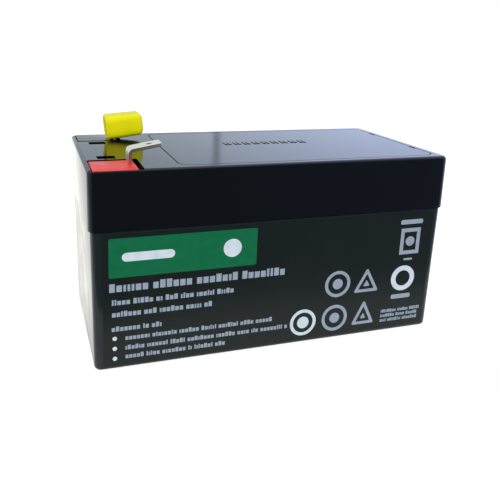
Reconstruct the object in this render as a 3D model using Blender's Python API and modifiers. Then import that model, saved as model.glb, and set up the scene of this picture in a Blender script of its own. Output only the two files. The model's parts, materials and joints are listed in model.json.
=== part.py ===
"""A small sealed lead-acid battery: 12 V, six cells in two rows of three, two blade terminals.

Lengths are in metres. X runs along the case, with both terminals at its left end. Y runs from the
front to the rear, and Z is up. The origin is at the middle of the underside.
"""

import math

import bmesh
import bpy
from mathutils import Matrix

# Case and lid
LENGTH = 0.097
WIDTH = 0.048
HEIGHT = 0.0505
LID_DEPTH = 0.0145
CASE_INSET = 0.0005
CASE_LEAN = 0.0005
CASE_WALL = 0.0020
CASE_FLOOR = 0.0022
CASE_CORNER = 0.0018
CASE_FOOT_ROUND = 0.0010
PARTITION = 0.0013
CELL_LEAN = 0.0002
CELL_CORNER = 0.0010
RIM_STEP = 0.0007
RIM_HEIGHT = 0.0030
LID_CORNER = 0.0022
LID_TOP_ROUND = 0.0010
COLUMNS = 3
CLEARANCE = 0.0003

# Headroom, valve gallery and vent cover in the lid
ROOF_WALL = 0.0015
GALLERY_DEPTH = 0.0055
GALLERY_LEFT = 0.0235
GALLERY_END = 0.0040
GALLERY_SIDE = 0.0040
COVER_LEDGE = 0.0015
COVER_THICKNESS = 0.0015
COVER_CORNER = 0.0020
VENT_NOTCH = (0.0006, 0.0030)
VENT_SPREAD = 0.0110
CHIMNEY_RADIUS = 0.0026
CHIMNEY_BORE = 0.0015
CHIMNEY_HEIGHT = 0.0025
VALVE_ROOM = 0.0007
VALVE_WALL = 0.0008
VALVE_SKIRT = 0.0021
VALVE_ROUND = 0.0004

# Terminal wells, measured from the lid's left end and from the nearer long side
WELL_X = (0.0010, 0.0132)
WELL_Y = (0.00055, 0.0120)
WELL_DEPTH = 0.0015
POCKET_X = (0.0019, 0.0129)
POCKET_Y = (0.0015, 0.0118)
POCKET_DEPTH = 0.0036
WELL_CORNER = 0.0006
PAD_X = (0.0013, 0.0119)
PAD_Y = (0.00085, 0.0109)
PAD_CORNER = 0.0004
PAD_SUNK = 0.00005
SLOT_X = (0.0038, 0.0083)
SLOT_Y = (0.0129, 0.0163)
SLOT_DEPTH = 0.0012
RELIEF_WALL = 0.0018
RELIEF_LENGTH = 0.0185

# Terminals: lead post, seal and blade
TERMINAL_Y = 0.0084
POST_X = 0.0065
POST_RADIUS = 0.0022
POST_TIP_RADIUS = 0.0015
SEAL_SECTION = 0.0010
SEAL_SEAT = 0.0022
BOSS_WALL = 0.0014
BOSS_DROP = 0.0015
BLADE_X = 0.0107
BLADE_TIP_X = 0.0186
BLADE_WIDTH = 0.00475
BLADE_THICKNESS = 0.0008
BLADE_RISE = 0.0033
BLADE_BEND = 0.0009
BLADE_NECK = 0.0034
BLADE_SHOULDER = 0.0004
BLADE_EYE = 0.0026
BLADE_TIP_CHAMFER = 0.0009
BLADE_HOLE = 0.0007
BLADE_HOLE_BACK = 0.0030
POSITIVE_TILT = math.radians(10)
NEGATIVE_TILT = math.radians(6)

# Insulating cap on the negative blade
CAP_X = (0.0090, 0.0197)
CAP_WIDTH = 0.0076
CAP_HEIGHT = 0.0066
CAP_TIP_HEIGHT = 0.0061
CAP_LIFT = 0.0005
CAP_WALL = 0.0011
CAP_END_WALL = 0.0007
CAP_ROUND = 0.0010

# Label on the front of the case
LABEL_SIDE = 0.0031
LABEL_THICKNESS = 0.00015
LABEL_GAP = 0.0001
LABEL_RISE = 0.0012
LABEL_DROP = 0.0010

# Cells: plates, glass mats, straps and bridges
POSITIVE_PLATES = 3
POSITIVE_THICKNESS = 0.0016
NEGATIVE_THICKNESS = 0.0011
PLATE_SIDE = 0.0012
PLATE_CORNER = 0.0006
LUG_WIDTH = 0.0040
LUG_HEIGHT = 0.0020
LUG_INSET = 0.0015
MAT_OVERHANG = 0.0012
STRAP_WIDTH = 0.0050
STRAP_THICKNESS = 0.0026
STRAP_OVERHANG = 0.0002
BRIDGE_THICKNESS = 0.0020
BRIDGE_WIDTH = 0.0060
BRIDGE_REACH = 0.0040

# Smoothness of round edges
CORNER_STEPS = 5
EDGE_STEPS = 3
TURN_STEPS = 24
OVERRUN = 0.0020
WELD = 0.000001

# Levels and spans that follow
SEAM_Z = HEIGHT - LID_DEPTH
SHOULDER_Z = SEAM_Z - CLEARANCE
RIM_Z = SHOULDER_Z + RIM_HEIGHT
LEFT = -LENGTH / 2
FRONT = -WIDTH / 2
CASE_SIZE = (LENGTH - 2 * CASE_INSET, WIDTH - 2 * CASE_INSET)
RIM_SIZE = (CASE_SIZE[0] - 2 * RIM_STEP, CASE_SIZE[1] - 2 * RIM_STEP)
CELL_LENGTH = (CASE_SIZE[0] - 2 * CASE_WALL - (COLUMNS - 1) * PARTITION) / COLUMNS
CELL_DEPTH = (CASE_SIZE[1] - 2 * CASE_WALL - PARTITION) / 2
CELL_Y = (CELL_DEPTH + PARTITION) / 2
GALLERY_Z = HEIGHT - GALLERY_DEPTH
ROOF_Z = GALLERY_Z - ROOF_WALL
COVER_Z = HEIGHT - COVER_THICKNESS
VALVE_RADIUS = CHIMNEY_RADIUS + CLEARANCE + VALVE_WALL
POCKET_Z = HEIGHT - POCKET_DEPTH
RELIEF_Z = POCKET_Z - RELIEF_WALL
SEAL_Z = POCKET_Z - SEAL_SEAT
BOSS_Z = SEAL_Z - BOSS_DROP
SEAL_POCKET_RADIUS = POST_TIP_RADIUS + SEAL_SECTION + 2 * CLEARANCE
BLADE_FOOT_Z = POCKET_Z + CLEARANCE
NEGATIVE_PLATES = POSITIVE_PLATES + 1
LAYERS = 2 * POSITIVE_PLATES + POSITIVE_PLATES + NEGATIVE_PLATES
LEAD_DEPTH = POSITIVE_PLATES * POSITIVE_THICKNESS + NEGATIVE_PLATES * NEGATIVE_THICKNESS
STACK_DEPTH = CELL_DEPTH - 2 * CELL_LEAN - (LAYERS + 1) * CLEARANCE
MAT_THICKNESS = (STACK_DEPTH - LEAD_DEPTH) / (2 * POSITIVE_PLATES)
PLATE_PITCH = POSITIVE_THICKNESS + NEGATIVE_THICKNESS + 2 * MAT_THICKNESS + 4 * CLEARANCE
MAT_BEND = POSITIVE_THICKNESS / 2 + CLEARANCE + MAT_THICKNESS
PLATE_Z = CASE_FLOOR + CLEARANCE + MAT_BEND
STRAP_TOP = RIM_Z - CLEARANCE
STRAP_Z = STRAP_TOP - STRAP_THICKNESS
PLATE_TOP = STRAP_Z - LUG_HEIGHT
PLATE_WIDTH = CELL_LENGTH - 2 * CELL_LEAN - 2 * PLATE_SIDE
LUG_OFFSET = PLATE_WIDTH / 2 - LUG_WIDTH / 2 - LUG_INSET
BRIDGE_Z = RIM_Z + CLEARANCE
BRIDGE_TOP = BRIDGE_Z + BRIDGE_THICKNESS

UPRIGHT_XZ = Matrix.Rotation(math.pi / 2, 4, "X")
UPRIGHT_YZ = Matrix(((0, 0, 1, 0), (1, 0, 0, 0), (0, 1, 0, 0), (0, 0, 0, 1)))


def linear(level):
    """One 0 to 255 screen level as the linear value that a shader takes."""
    share = level / 255
    return share / 12.92 if share <= 0.04045 else ((share + 0.055) / 1.055) ** 2.4


def finish(name, colour, roughness, metallic=0.0):
    """A material from its screen colour, roughness and metallic value, made once for each name."""
    material = bpy.data.materials.get(name)
    if material is None:
        material = bpy.data.materials.new(name)
        material.use_nodes = True
        shader = material.node_tree.nodes["Principled BSDF"]
        shader.inputs["Base Color"].default_value = (*map(linear, colour), 1)
        shader.inputs["Roughness"].default_value = roughness
        shader.inputs["Metallic"].default_value = metallic
    return material


def case_plastic():
    return finish("case_plastic", (33, 38, 43), 0.40)


def lid_plastic():
    return finish("lid_plastic", (20, 23, 28), 0.15)


def seal_rubber():
    return finish("seal_rubber", (30, 30, 31), 0.80)


def lead():
    return finish("lead", (126, 130, 136), 0.50, 0.9)


def glass_mat():
    return finish("glass_mat", (232, 232, 226), 0.95)


def blade_metal():
    return finish("blade_metal", (212, 210, 200), 0.28, 1.0)


def place(name, mesh, material, parts):
    """A visible piece of the battery."""
    obj = bpy.data.objects.new(name, mesh)
    parts.objects.link(obj)
    obj.parent = bpy.data.objects["battery_frame"]
    mesh.materials.clear()
    mesh.materials.append(material)
    return obj


def tool(name, mesh, tools):
    """A shape that only cuts or joins another."""
    obj = bpy.data.objects.new(name, mesh)
    tools.objects.link(obj)
    obj.hide_render = True
    obj.display_type = "WIRE"
    return obj


def boolean(obj, other, operation):
    modifier = obj.modifiers.new(other.name, "BOOLEAN")
    modifier.operation = operation
    modifier.solver = "EXACT"
    modifier.object = other


def cut(obj, other):
    boolean(obj, other, "DIFFERENCE")


def join(obj, other):
    boolean(obj, other, "UNION")


def to_mesh(bm, name):
    mesh = bpy.data.meshes.new(name)
    bm.to_mesh(mesh)
    bm.free()
    return mesh


def round_edges(bm, edges, radius, steps):
    bmesh.ops.bevel(
        bm, geom=edges, offset=radius, offset_type="OFFSET", segments=steps, profile=0.5, affect="EDGES"
    )


def level_edges(bm, z):
    """The edges that lie flat at one height."""
    return [edge for edge in bm.edges if all(abs(vert.co.z - z) < WELD for vert in edge.verts)]


def block(name, centre, size, z_low, z_high, corner=0.0, lean=0.0, top_round=0.0, foot_round=0.0):
    """A block between two heights, with round upright edges, sides that lean in towards the foot,
    and round edges along its top and its foot."""
    bm = bmesh.new()
    bmesh.ops.create_cube(bm, size=1.0)
    bmesh.ops.scale(bm, vec=(size[0], size[1], z_high - z_low), verts=bm.verts)
    feet = [vert for vert in bm.verts if vert.co.z < 0]
    bmesh.ops.scale(bm, vec=(1 - 2 * lean / size[0], 1 - 2 * lean / size[1], 1), verts=feet)
    bmesh.ops.translate(bm, vec=(centre[0], centre[1], (z_low + z_high) / 2), verts=bm.verts)
    if corner:
        upright = [edge for edge in bm.edges if abs(edge.verts[0].co.z - edge.verts[1].co.z) > WELD]
        round_edges(bm, upright, corner, CORNER_STEPS)
    if top_round:
        round_edges(bm, level_edges(bm, z_high), top_round, EDGE_STEPS)
    if foot_round:
        round_edges(bm, level_edges(bm, z_low), foot_round, EDGE_STEPS)
    return to_mesh(bm, name)


def span_block(name, x_span, y_span, z_low, z_high, **rounding):
    """A block given by its two ends along X and along Y."""
    centre = (sum(x_span) / 2, sum(y_span) / 2)
    size = (x_span[1] - x_span[0], y_span[1] - y_span[0])
    return block(name, centre, size, z_low, z_high, **rounding)


def cylinder(name, centre, radius, z_low, z_high):
    bm = bmesh.new()
    bmesh.ops.create_cone(
        bm, cap_ends=True, segments=TURN_STEPS, radius1=radius, radius2=radius, depth=z_high - z_low
    )
    bmesh.ops.translate(bm, vec=(centre[0], centre[1], (z_low + z_high) / 2), verts=bm.verts)
    return to_mesh(bm, name)


def gathered(name, meshes):
    """Several separate shapes as one mesh, for one cut or one join."""
    bm = bmesh.new()
    for mesh in meshes:
        bm.from_mesh(mesh)
        bpy.data.meshes.remove(mesh)
    return to_mesh(bm, name)


def turned(name, profile):
    """A profile of (radius, height) points, from the top down its outer side, for the lathe."""
    mesh = bpy.data.meshes.new(name)
    points = [(radius, 0, height) for radius, height in profile]
    mesh.from_pydata(points, [(i, i + 1) for i in range(len(points) - 1)], [])
    return mesh


def spin(obj):
    screw = obj.modifiers.new("Lathe", "SCREW")
    screw.axis = "Z"
    screw.steps = TURN_STEPS
    screw.render_steps = TURN_STEPS
    screw.use_merge_vertices = True
    screw.merge_threshold = WELD


def arc(centre, radius, start, end, steps):
    """Points along an arc, with angles in radians."""
    angles = [start + (end - start) * i / steps for i in range(steps + 1)]
    return [(centre[0] + radius * math.cos(a), centre[1] + radius * math.sin(a)) for a in angles]


def sheet(name, outline, thickness, turn, shift=(0, 0, 0)):
    """A flat outline as thick as given, turned upright and shifted, as a welded mesh."""
    curve = bpy.data.curves.new(name, "CURVE")
    curve.dimensions = "2D"
    curve.fill_mode = "BOTH"
    curve.extrude = thickness / 2
    spline = curve.splines.new("POLY")
    spline.points.add(len(outline) - 1)
    for point, (u, v) in zip(spline.points, outline):
        point.co = (u, v, 0, 1)
    spline.use_cyclic_u = True
    guide = bpy.data.objects.new(name, curve)
    bpy.context.scene.collection.objects.link(guide)
    bpy.context.view_layer.update()
    raw = bpy.data.meshes.new_from_object(guide.evaluated_get(bpy.context.evaluated_depsgraph_get()))
    bpy.data.objects.remove(guide)
    bm = bmesh.new()
    bm.from_mesh(raw)
    bpy.data.meshes.remove(raw)
    bmesh.ops.remove_doubles(bm, verts=bm.verts, dist=WELD)
    bmesh.ops.transform(bm, matrix=Matrix.Translation(shift) @ turn, verts=bm.verts)
    bmesh.ops.recalc_face_normals(bm, faces=bm.faces)
    return to_mesh(bm, name)


def cell_places():
    """Each cell's number, middle and the side of its positive lugs, in the order of the circuit:
    along the front row from the left, and back along the rear row."""
    pitch = CELL_LENGTH + PARTITION
    columns = [(column - (COLUMNS - 1) / 2) * pitch for column in range(COLUMNS)]
    front = [(x, -CELL_Y, -1) for x in columns]
    rear = [(x, CELL_Y, 1) for x in reversed(columns)]
    return list(enumerate(front + rear, start=1))


def valve_places():
    """The middles of the six valves. The left pair stands at the gallery's left end, clear of the
    terminals."""
    left = LEFT + GALLERY_LEFT + VALVE_RADIUS + VALVE_ROOM
    return [(max(x, left), y) for _, (x, y, _) in cell_places()]


def mirrored(span, side):
    """A span measured from the nearer long side, as Y. Side -1 is the front and 1 the rear."""
    ends = (FRONT + span[0], FRONT + span[1])
    return ends if side < 0 else (-ends[1], -ends[0])


def from_left(span):
    return (LEFT + span[0], LEFT + span[1])


def terminal_y(side):
    return -side * (FRONT + TERMINAL_Y)


def build_container(parts, tools):
    """The open box with its six cells, moulded in one."""
    shell = block(
        "container", (0, 0), CASE_SIZE, 0, SHOULDER_Z,
        corner=CASE_CORNER, lean=CASE_LEAN, foot_round=CASE_FOOT_ROUND,
    )
    container = place("container", shell, case_plastic(), parts)
    rim = block("rim", (0, 0), RIM_SIZE, SHOULDER_Z - OVERRUN, RIM_Z, corner=CASE_CORNER - RIM_STEP)
    join(container, tool("rim", rim, tools))
    cells = [
        block(
            "cell", (x, y), (CELL_LENGTH, CELL_DEPTH), CASE_FLOOR, RIM_Z + OVERRUN,
            corner=CELL_CORNER, lean=CELL_LEAN, foot_round=CELL_CORNER / 2,
        )
        for _, (x, y, _) in cell_places()
    ]
    cut(container, tool("cell_cavities", gathered("cell_cavities", cells), tools))


def gallery_span():
    x_span = (LEFT + GALLERY_LEFT, -LEFT - GALLERY_END)
    y_span = (FRONT + GALLERY_SIDE, -FRONT - GALLERY_SIDE)
    return x_span, y_span


def widened(span, by):
    return (span[0] - by, span[1] + by)


def build_gallery(lid, tools):
    """The sunk gallery for the valves, the ledge that carries the vent cover, and the chimneys."""
    x_span, y_span = gallery_span()
    floor = span_block("gallery", x_span, y_span, GALLERY_Z, HEIGHT + OVERRUN, corner=COVER_CORNER)
    cut(lid, tool("gallery", floor, tools))
    ledge = span_block(
        "cover_seat", widened(x_span, COVER_LEDGE), widened(y_span, COVER_LEDGE),
        COVER_Z - CLEARANCE, HEIGHT + OVERRUN, corner=COVER_CORNER + COVER_LEDGE,
    )
    cut(lid, tool("cover_seat", ledge, tools))
    top = GALLERY_Z + CHIMNEY_HEIGHT
    root = GALLERY_Z - ROOF_WALL / 2
    stems = [cylinder("stem", centre, CHIMNEY_RADIUS, root, top) for centre in valve_places()]
    join(lid, tool("chimneys", gathered("chimneys", stems), tools))
    bores = [
        cylinder("bore", centre, CHIMNEY_BORE, ROOF_Z - OVERRUN, top + OVERRUN)
        for centre in valve_places()
    ]
    cut(lid, tool("chimney_bores", gathered("chimney_bores", bores), tools))


def build_terminal_wells(lid, tools):
    """At each terminal, a shallow well, the pocket for the resin and the slot beside them."""
    cutters = []
    for side in (-1, 1):
        for x_span, y_span, depth, corner in (
            (WELL_X, WELL_Y, WELL_DEPTH, WELL_CORNER),
            (POCKET_X, POCKET_Y, POCKET_DEPTH, WELL_CORNER),
            (SLOT_X, SLOT_Y, SLOT_DEPTH, WELL_CORNER / 2),
        ):
            cutters.append(
                span_block(
                    "well", from_left(x_span), mirrored(y_span, side),
                    HEIGHT - depth, HEIGHT + OVERRUN, corner=corner,
                )
            )
    for first, name in enumerate(("wells", "pockets", "slots")):
        cut(lid, tool(name, gathered(name, cutters[first::3]), tools))


def build_headroom(lid, tools):
    """The space over each cell, with ribs between that meet the partitions, and the space under
    the terminals, which leaves a boss round each post."""
    rooms = []
    reliefs = []
    bosses = []
    for number, (x, y, _) in cell_places():
        room = (CELL_LENGTH, CELL_DEPTH)
        rooms.append(block("room", (x, y), room, SEAM_Z - OVERRUN, ROOF_Z, corner=CELL_CORNER))
        if number in (1, 2 * COLUMNS):
            side = -1 if y < 0 else 1
            x_span = (x - CELL_LENGTH / 2, x - CELL_LENGTH / 2 + RELIEF_LENGTH)
            y_span = (y - CELL_DEPTH / 2, y + CELL_DEPTH / 2)
            reliefs.append(
                span_block("relief", x_span, y_span, BOSS_Z, RELIEF_Z, corner=CELL_CORNER)
            )
            boss = (LEFT + POST_X, terminal_y(side))
            bosses.append(cylinder("boss", boss, SEAL_POCKET_RADIUS + BOSS_WALL, BOSS_Z, HEIGHT))
    cut(lid, tool("rooms", gathered("rooms", rooms), tools))
    relief = tool("reliefs", gathered("reliefs", reliefs), tools)
    cut(relief, tool("bosses", gathered("bosses", bosses), tools))
    cut(lid, relief)


def build_post_holes(lid, tools):
    """A hole for each post, with a seat for its seal."""
    holes = []
    seats = []
    for side in (-1, 1):
        centre = (LEFT + POST_X, terminal_y(side))
        holes.append(
            cylinder("hole", centre, POST_TIP_RADIUS + CLEARANCE, ROOF_Z - OVERRUN, HEIGHT)
        )
        seats.append(cylinder("seat", centre, SEAL_POCKET_RADIUS, SEAL_Z, HEIGHT))
    cut(lid, tool("post_holes", gathered("post_holes", holes), tools))
    cut(lid, tool("seal_seats", gathered("seal_seats", seats), tools))


def build_lid(parts, tools):
    """The lid, moulded in one."""
    shell = block(
        "lid", (0, 0), (LENGTH, WIDTH), SEAM_Z, HEIGHT, corner=LID_CORNER, top_round=LID_TOP_ROUND
    )
    lid = place("lid", shell, lid_plastic(), parts)
    build_gallery(lid, tools)
    build_terminal_wells(lid, tools)
    build_headroom(lid, tools)
    build_post_holes(lid, tools)
    rebate = (RIM_SIZE[0] + 2 * CLEARANCE, RIM_SIZE[1] + 2 * CLEARANCE)
    seat = block(
        "rim_seat", (0, 0), rebate, SEAM_Z - OVERRUN, RIM_Z + CLEARANCE,
        corner=CASE_CORNER - RIM_STEP + CLEARANCE,
    )
    cut(lid, tool("rim_seat", seat, tools))
    notches = [
        span_block(
            "notch", widened(x_span, CLEARANCE), widened(y_span, CLEARANCE),
            SEAM_Z - OVERRUN, BRIDGE_TOP + CLEARANCE,
        )
        for x_span, y_span in bridge_spans()
    ]
    cut(lid, tool("bridge_notches", gathered("bridge_notches", notches), tools))


def build_vent_cover(parts, tools):
    """The plate that closes the gallery and holds the valves down, with two gas notches."""
    x_span, y_span = gallery_span()
    reach = COVER_LEDGE - CLEARANCE
    x_span = widened(x_span, reach)
    plate = span_block(
        "vent_cover", x_span, widened(y_span, reach), COVER_Z, HEIGHT,
        corner=COVER_CORNER + reach,
    )
    cover = place("vent_cover", plate, lid_plastic(), parts)
    deep, wide = VENT_NOTCH
    notches = [
        span_block(
            "notch", (x_span[1] - deep, x_span[1] + OVERRUN), (y - wide / 2, y + wide / 2),
            COVER_Z - OVERRUN, HEIGHT + OVERRUN,
        )
        for y in (-VENT_SPREAD, VENT_SPREAD)
    ]
    cut(cover, tool("gas_notches", gathered("gas_notches", notches), tools))


def build_valves(parts):
    """A rubber cap over each chimney. It lifts to let gas out."""
    roof = GALLERY_Z + CHIMNEY_HEIGHT + CLEARANCE
    top = COVER_Z - CLEARANCE
    inner = CHIMNEY_RADIUS + CLEARANCE
    outer = VALVE_RADIUS
    foot = roof - VALVE_SKIRT
    rounded = arc((outer - VALVE_ROUND, top - VALVE_ROUND), VALVE_ROUND, math.pi / 2, 0, EDGE_STEPS)
    profile = [(0, top), *rounded, (outer, foot), (inner, foot), (inner, roof), (0, roof)]
    mesh = turned("valve", profile)
    for number, (x, y) in enumerate(valve_places(), start=1):
        valve = place(f"valve_cap_{number}", mesh, seal_rubber(), parts)
        valve.location = (x, y, 0)
        spin(valve)


def build_seals(parts):
    """A rubber ring round each post, at the foot of its pocket."""
    section = SEAL_SECTION / 2
    for polarity, side in (("positive", -1), ("negative", 1)):
        bpy.ops.mesh.primitive_torus_add(
            major_radius=POST_TIP_RADIUS + CLEARANCE + section,
            minor_radius=section,
            major_segments=TURN_STEPS,
            minor_segments=8,
        )
        made = bpy.context.object
        mesh = made.data
        bpy.data.objects.remove(made)
        seal = place(f"{polarity}_post_seal", mesh, seal_rubber(), parts)
        seal.location = (LEFT + POST_X, terminal_y(side), SEAL_Z + CLEARANCE + section)


def blade_side(tilt):
    """The blade seen from the front: its foot in the resin, the upright leg and the tilted arm.
    The line runs along the middle of the strip, and each side of it is half the thickness away."""
    half = BLADE_THICKNESS / 2
    foot_z = BLADE_FOOT_Z + half
    arm_z = HEIGHT + BLADE_RISE
    leg_x = LEFT + BLADE_X
    low = (leg_x - BLADE_BEND, foot_z + BLADE_BEND)
    turn = math.pi / 2 - tilt
    high = (leg_x + BLADE_BEND, arm_z - BLADE_BEND)
    arm_start = math.pi - turn
    reach = (BLADE_TIP_X - BLADE_X - BLADE_BEND) / math.cos(tilt)
    sides = []
    for offset in (half, -half):
        foot = [(LEFT + POST_X, foot_z - offset)]
        lower = arc(low, BLADE_BEND + offset, -math.pi / 2, 0, CORNER_STEPS)
        upper = arc(high, BLADE_BEND - offset, math.pi, arm_start, CORNER_STEPS)
        end = upper[-1]
        tip = [(end[0] + reach * math.cos(tilt), end[1] + reach * math.sin(tilt))]
        sides.append(foot + lower + upper + tip)
    return sides[0] + sides[1][::-1]


def build_blade(parts, tools, polarity, side, tilt):
    """A tinned brass blade: an eye over the post, a neck out of the resin and the wide arm."""
    y = terminal_y(side)
    strip = sheet(f"{polarity}_blade", blade_side(tilt), BLADE_WIDTH, UPRIGHT_XZ, (0, y, 0))
    blade = place(f"{polarity}_blade", strip, blade_metal(), parts)
    post = (LEFT + POST_X, y)
    foot_top = BLADE_FOOT_Z + BLADE_THICKNESS
    narrow_z = HEIGHT + BLADE_SHOULDER
    half_width = BLADE_WIDTH / 2
    half_neck = BLADE_NECK / 2
    edges = [
        span_block(
            "edge", (post[0] - OVERRUN, LEFT + BLADE_X + OVERRUN),
            tuple(sorted((y + near * half_neck, y + near * (half_width + OVERRUN)))),
            BLADE_FOOT_Z - OVERRUN, narrow_z,
        )
        for near in (-1, 1)
    ]
    cut(blade, tool(f"{polarity}_neck_cuts", gathered("neck_cuts", edges), tools))
    eye = cylinder("eye", post, BLADE_EYE, BLADE_FOOT_Z, foot_top)
    join(blade, tool(f"{polarity}_eye", eye, tools))
    hole = POST_TIP_RADIUS + CLEARANCE
    rivet_hole = cylinder("rivet_hole", post, hole, BLADE_FOOT_Z - OVERRUN, foot_top + OVERRUN)
    cut(blade, tool(f"{polarity}_rivet_hole", rivet_hole, tools))
    tip_x = LEFT + BLADE_TIP_X
    blade_hole = cylinder(
        "blade_hole", (tip_x - BLADE_HOLE_BACK, y), BLADE_HOLE, HEIGHT, HEIGHT + 4 * BLADE_RISE
    )
    cut(blade, tool(f"{polarity}_blade_hole", blade_hole, tools))
    chamfers = []
    for near in (-1, 1):
        corner = [
            (tip_x - BLADE_TIP_CHAMFER, near * (half_width + WELD)),
            (tip_x + OVERRUN, near * (half_width - BLADE_TIP_CHAMFER / 2 - OVERRUN / 2)),
            (tip_x + OVERRUN, near * (half_width + OVERRUN)),
            (tip_x - BLADE_TIP_CHAMFER, near * (half_width + OVERRUN)),
        ]
        chamfers.append(
            sheet("chamfer", corner, 4 * BLADE_RISE, Matrix.Identity(4), (0, y, HEIGHT + BLADE_RISE))
        )
    cut(blade, tool(f"{polarity}_tip_chamfers", gathered("tip_chamfers", chamfers), tools))


def build_resin(parts, tools, polarity, side, material):
    """The cast resin: a block in the pocket, and a pad over it that stands up level with the lid.
    The blade's foot lies under it and the blade's neck comes up through it."""
    well_z = HEIGHT - WELL_DEPTH
    gap = CLEARANCE
    y = terminal_y(side)
    pad = span_block(
        "resin", from_left(PAD_X), mirrored(PAD_Y, side), well_z + gap, HEIGHT - PAD_SUNK,
        corner=PAD_CORNER, top_round=PAD_CORNER / 2,
    )
    resin = place(f"{polarity}_resin", pad, material, parts)
    pocket_x = (POCKET_X[0] + gap, POCKET_X[1] - gap)
    pocket_y = (POCKET_Y[0] + gap, POCKET_Y[1] - gap)
    low = span_block(
        "low", from_left(pocket_x), mirrored(pocket_y, side), POCKET_Z + gap, well_z - gap,
        corner=PAD_CORNER,
    )
    join(resin, tool(f"{polarity}_resin_low", low, tools))
    stem_x = (pocket_x[0] + PAD_CORNER, PAD_X[1] - PAD_CORNER / 2)
    stem_y = (pocket_y[0] + PAD_CORNER, PAD_Y[1] - PAD_CORNER / 2)
    stem = span_block(
        "stem", from_left(stem_x), mirrored(stem_y, side), well_z - 3 * gap, well_z + 3 * gap
    )
    join(resin, tool(f"{polarity}_resin_stem", stem, tools))
    ceiling = BLADE_FOOT_Z + BLADE_THICKNESS + gap
    reach = BLADE_THICKNESS / 2 + gap
    half_neck = BLADE_NECK / 2 + gap
    leg_x = LEFT + BLADE_X
    channel = span_block(
        "channel", (LEFT + POST_X, leg_x + reach), (y - half_neck, y + half_neck),
        POCKET_Z - OVERRUN, ceiling,
    )
    cut(resin, tool(f"{polarity}_channel", channel, tools))
    elbow = span_block(
        "elbow", (leg_x - reach - BLADE_BEND, leg_x + reach), (y - half_neck, y + half_neck),
        POCKET_Z - OVERRUN, BLADE_FOOT_Z + BLADE_BEND + BLADE_THICKNESS,
    )
    cut(resin, tool(f"{polarity}_elbow", elbow, tools))
    eye_room = cylinder("eye_room", (LEFT + POST_X, y), BLADE_EYE + gap, POCKET_Z - OVERRUN, ceiling)
    cut(resin, tool(f"{polarity}_eye_room", eye_room, tools))
    slit = span_block(
        "slit", (leg_x - reach, leg_x + reach), (y - half_neck, y + half_neck),
        POCKET_Z - OVERRUN, HEIGHT + OVERRUN,
    )
    cut(resin, tool(f"{polarity}_slit", slit, tools))


def tapered(x_span, width, heights):
    """A box along X whose height changes from one end to the other."""
    bm = bmesh.new()
    bmesh.ops.create_cube(bm, size=1.0)
    bmesh.ops.scale(bm, vec=(x_span[1] - x_span[0], width, heights[0]), verts=bm.verts)
    tip = [vert for vert in bm.verts if vert.co.x > 0]
    bmesh.ops.scale(bm, vec=(1, 1, heights[1] / heights[0]), verts=tip)
    bmesh.ops.translate(bm, vec=(sum(x_span) / 2, 0, 0), verts=bm.verts)
    return bm


def build_insulating_cap(parts, tools):
    """A soft sleeve over the negative blade, closed at its right end, where it is lower. A slit in
    its underside lets the blade's leg through."""
    y = terminal_y(1)
    half = (CAP_X[1] - CAP_X[0]) / 2
    bm = tapered((-half, half), CAP_WIDTH, (CAP_HEIGHT, CAP_TIP_HEIGHT))
    round_edges(bm, list(bm.edges), CAP_ROUND, EDGE_STEPS)
    cap = place(
        "insulating_cap", to_mesh(bm, "insulating_cap"),
        finish("cap_vinyl", (224, 217, 22), 0.45), parts,
    )
    middle_x = LEFT + sum(CAP_X) / 2
    blade_x = LEFT + BLADE_X
    tilt = NEGATIVE_TILT
    middle_z = HEIGHT + BLADE_RISE + (middle_x - blade_x) * math.tan(tilt) + CAP_LIFT
    where = Matrix.Translation((middle_x, y, middle_z)) @ Matrix.Rotation(-tilt, 4, "Y")
    cap.matrix_world = where
    bore_width = BLADE_WIDTH + 2 * CLEARANCE
    taper = (CAP_HEIGHT - CAP_TIP_HEIGHT) / (2 * half)
    bore_span = (-half - OVERRUN, half - CAP_END_WALL)
    room = CAP_HEIGHT - 2 * CAP_WALL
    heights = (room + taper * OVERRUN, room - taper * (2 * half - CAP_END_WALL))
    bore = tool("cap_bore", to_mesh(tapered(bore_span, bore_width, heights), "bore"), tools)
    bore.matrix_world = where
    cut(cap, bore)
    slit_end = blade_x - middle_x + BLADE_THICKNESS / 2 + BLADE_BEND
    slit = span_block(
        "slit", (-half - OVERRUN, slit_end), (-bore_width / 2, bore_width / 2),
        -CAP_HEIGHT / 2 - OVERRUN, 0,
    )
    slit_tool = tool("cap_slit", slit, tools)
    slit_tool.matrix_world = where
    cut(cap, slit_tool)


def build_label(parts):
    """The printed film on the front of the case, which leans as the case does."""
    lean = math.atan(CASE_LEAN / SHOULDER_Z)
    half = LABEL_THICKNESS / 2
    x_span = (LEFT + LABEL_SIDE, -LEFT - LABEL_SIDE)
    film = span_block("label", x_span, (-half, half), 0, SEAM_Z - LABEL_DROP - LABEL_RISE)
    label = place("label", film, finish("label_film", (33, 39, 42), 0.35), parts)
    foot_y = -CASE_SIZE[1] / 2 + CASE_LEAN * (1 - LABEL_RISE / SHOULDER_Z)
    label.location = (0, foot_y - LABEL_GAP - half, LABEL_RISE)
    label.rotation_euler = (lean, 0, 0)


def plate_outline(side):
    """A plate seen from the front, with its lug on the given side."""
    half = PLATE_WIDTH / 2
    lug = side * LUG_OFFSET
    strap = STRAP_Z + STRAP_THICKNESS / 2
    cut_back = PLATE_CORNER
    return [
        (-half + cut_back, PLATE_Z),
        (half - cut_back, PLATE_Z),
        (half, PLATE_Z + cut_back),
        (half, PLATE_TOP),
        (lug + LUG_WIDTH / 2, PLATE_TOP),
        (lug + LUG_WIDTH / 2, strap),
        (lug - LUG_WIDTH / 2, strap),
        (lug - LUG_WIDTH / 2, PLATE_TOP),
        (-half, PLATE_TOP),
        (-half, PLATE_Z + cut_back),
    ]


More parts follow.
